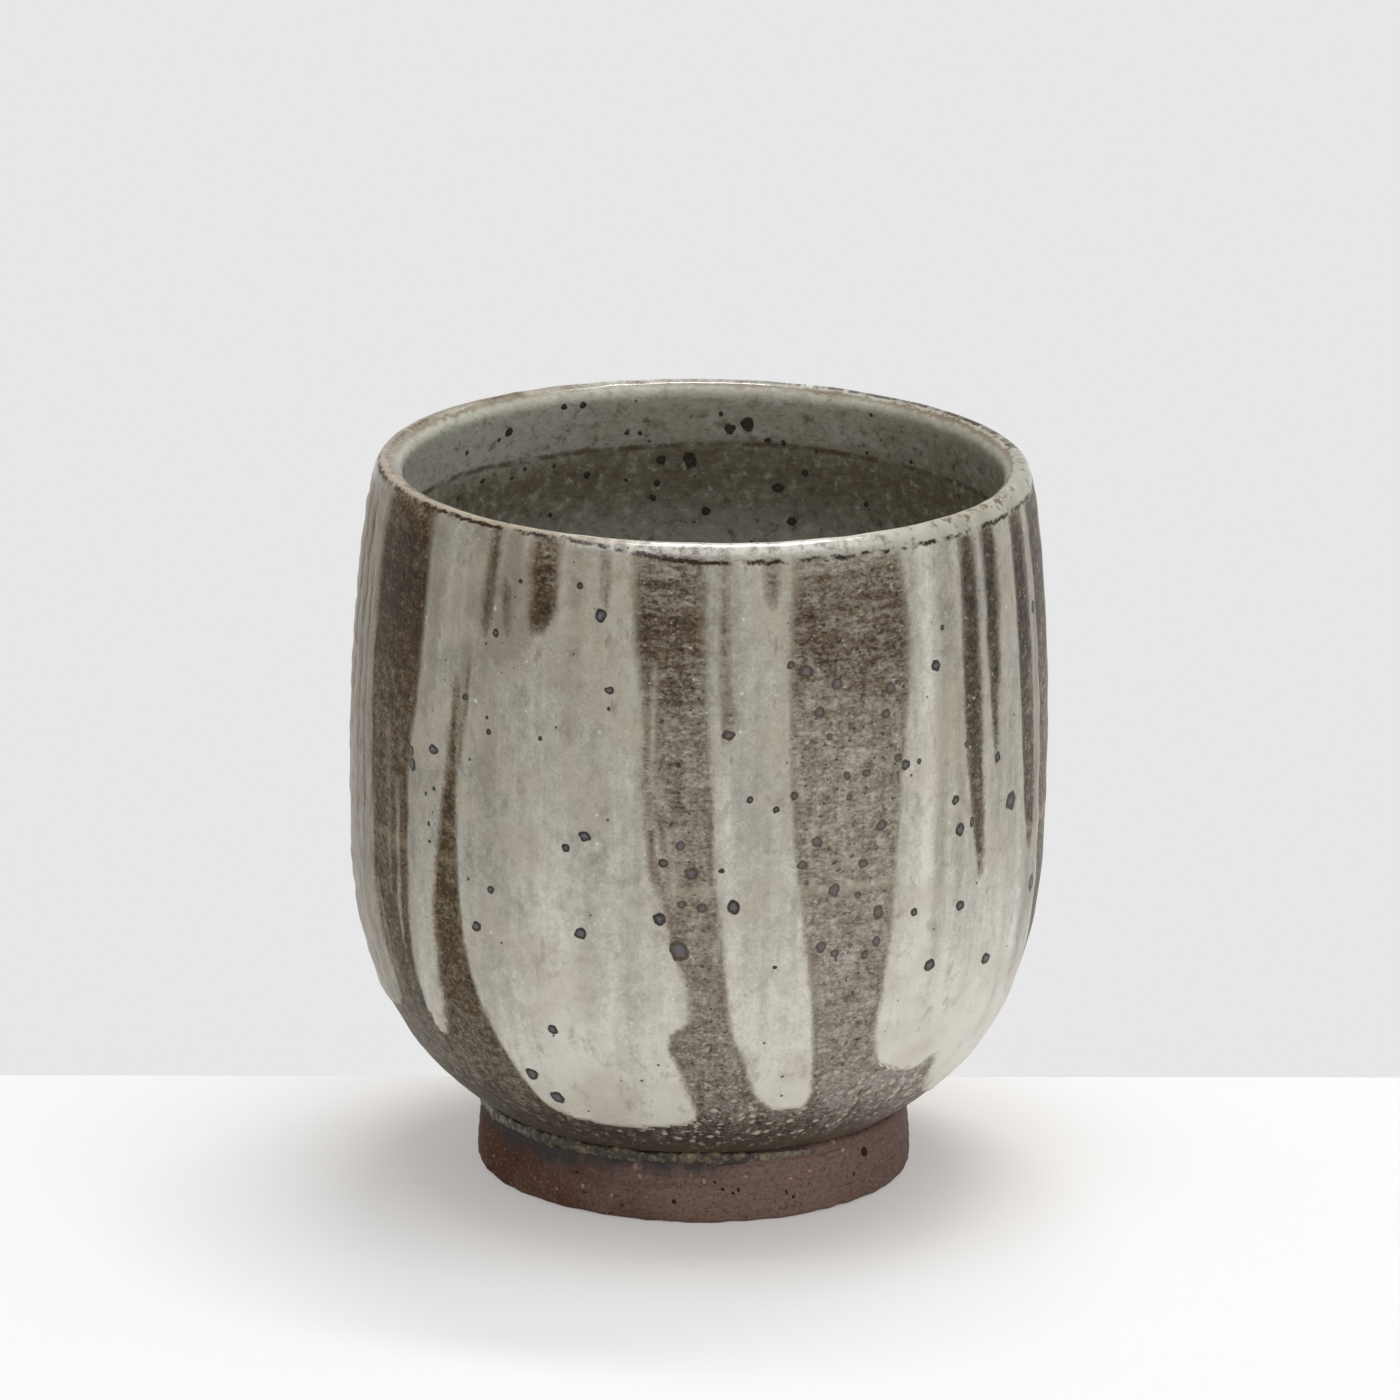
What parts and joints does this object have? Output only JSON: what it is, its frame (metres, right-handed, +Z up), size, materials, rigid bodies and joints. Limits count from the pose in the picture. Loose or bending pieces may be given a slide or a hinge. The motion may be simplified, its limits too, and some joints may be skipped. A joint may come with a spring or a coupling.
{
  "type": "yunomi tea cup",
  "caption": "Tall handleless stoneware tea cup on a turned foot ring, with a dark glaze, pale glaze poured down it in runs, and a rounded lip.",
  "frame": {"origin": "middle of the foot ring's footprint on the table", "axes": "+Z up along the axis the cup was thrown on, -Y towards the front as pictured"},
  "size_m": [0.0852, 0.0852, 0.0888],
  "materials": {
    "bare_stoneware": "matt, unglazed, grogged",
    "dark_glaze": "satin, mottled",
    "pale_glaze": "satin, iron spotted",
    "inner_glaze": "satin, iron spotted",
    "lip_glaze": "gloss, thin",
    "roll_glaze": "satin, beaded"
  },
  "bodies": {
    "root": {"foot_ring": "bare_stoneware", "bowl_body": "bare_stoneware", "base_glaze": "dark_glaze", "inner_glaze": "inner_glaze", "lip_glaze": "lip_glaze", "foot_glaze_roll": "roll_glaze", "pale_run_1": "pale_glaze", "pale_run_2": "pale_glaze", "pale_run_3": "pale_glaze", "pale_run_4": "pale_glaze", "pale_run_5": "pale_glaze", "pale_run_6": "pale_glaze", "pale_run_7": "pale_glaze", "pale_run_8": "pale_glaze", "pale_run_9": "pale_glaze"}
  },
  "joints": []
}
